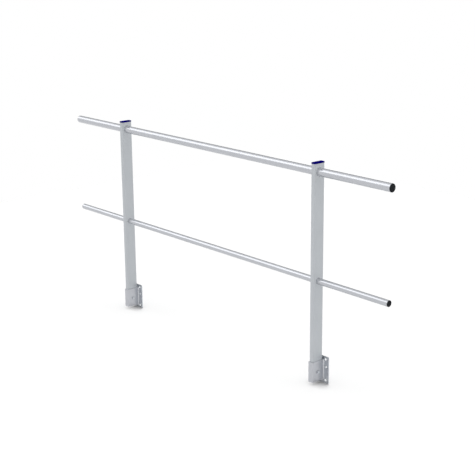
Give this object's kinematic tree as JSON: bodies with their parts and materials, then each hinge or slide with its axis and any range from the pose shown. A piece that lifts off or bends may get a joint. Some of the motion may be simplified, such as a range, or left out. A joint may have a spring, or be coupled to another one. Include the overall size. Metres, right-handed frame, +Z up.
{
  "type": "wall-mounted guardrail bay",
  "caption": "Tube guardrail bay with flat posts in bolted wall sleeves, a handrail and a knee rail through the posts, blue post caps and black end plugs.",
  "frame": {"origin": "middle of the left wall plate's wall face", "axes": "+X along the rails from the left post to the right post, +Y into the wall, +Z up"},
  "size_m": [2.402, 0.0785, 1.093],
  "materials": {
    "plate": "mill-finish aluminium plate, satin",
    "sleeve": "mill-finish aluminium tube section with weld fillets, satin",
    "bolt": "zinc-plated steel",
    "post": "extruded aluminium with fine lengthways die lines, satin anodised",
    "rail": "drawn aluminium tube, satin anodised",
    "cap": "moulded navy-blue polypropylene",
    "plug": "moulded black polyethylene"
  },
  "bodies": {
    "root": {"wall_plate_left": "plate", "wall_plate_right": "plate", "post_sleeve_left": "sleeve", "post_sleeve_right": "sleeve", "sleeve_bolt_left": "bolt", "sleeve_bolt_right": "bolt", "post_left": "post", "post_right": "post", "post_cap_left": "cap", "post_cap_right": "cap", "handrail": "rail", "knee_rail": "rail", "handrail_plug_left": "plug", "handrail_plug_right": "plug", "knee_rail_plug_left": "plug", "knee_rail_plug_right": "plug"}
  },
  "joints": []
}
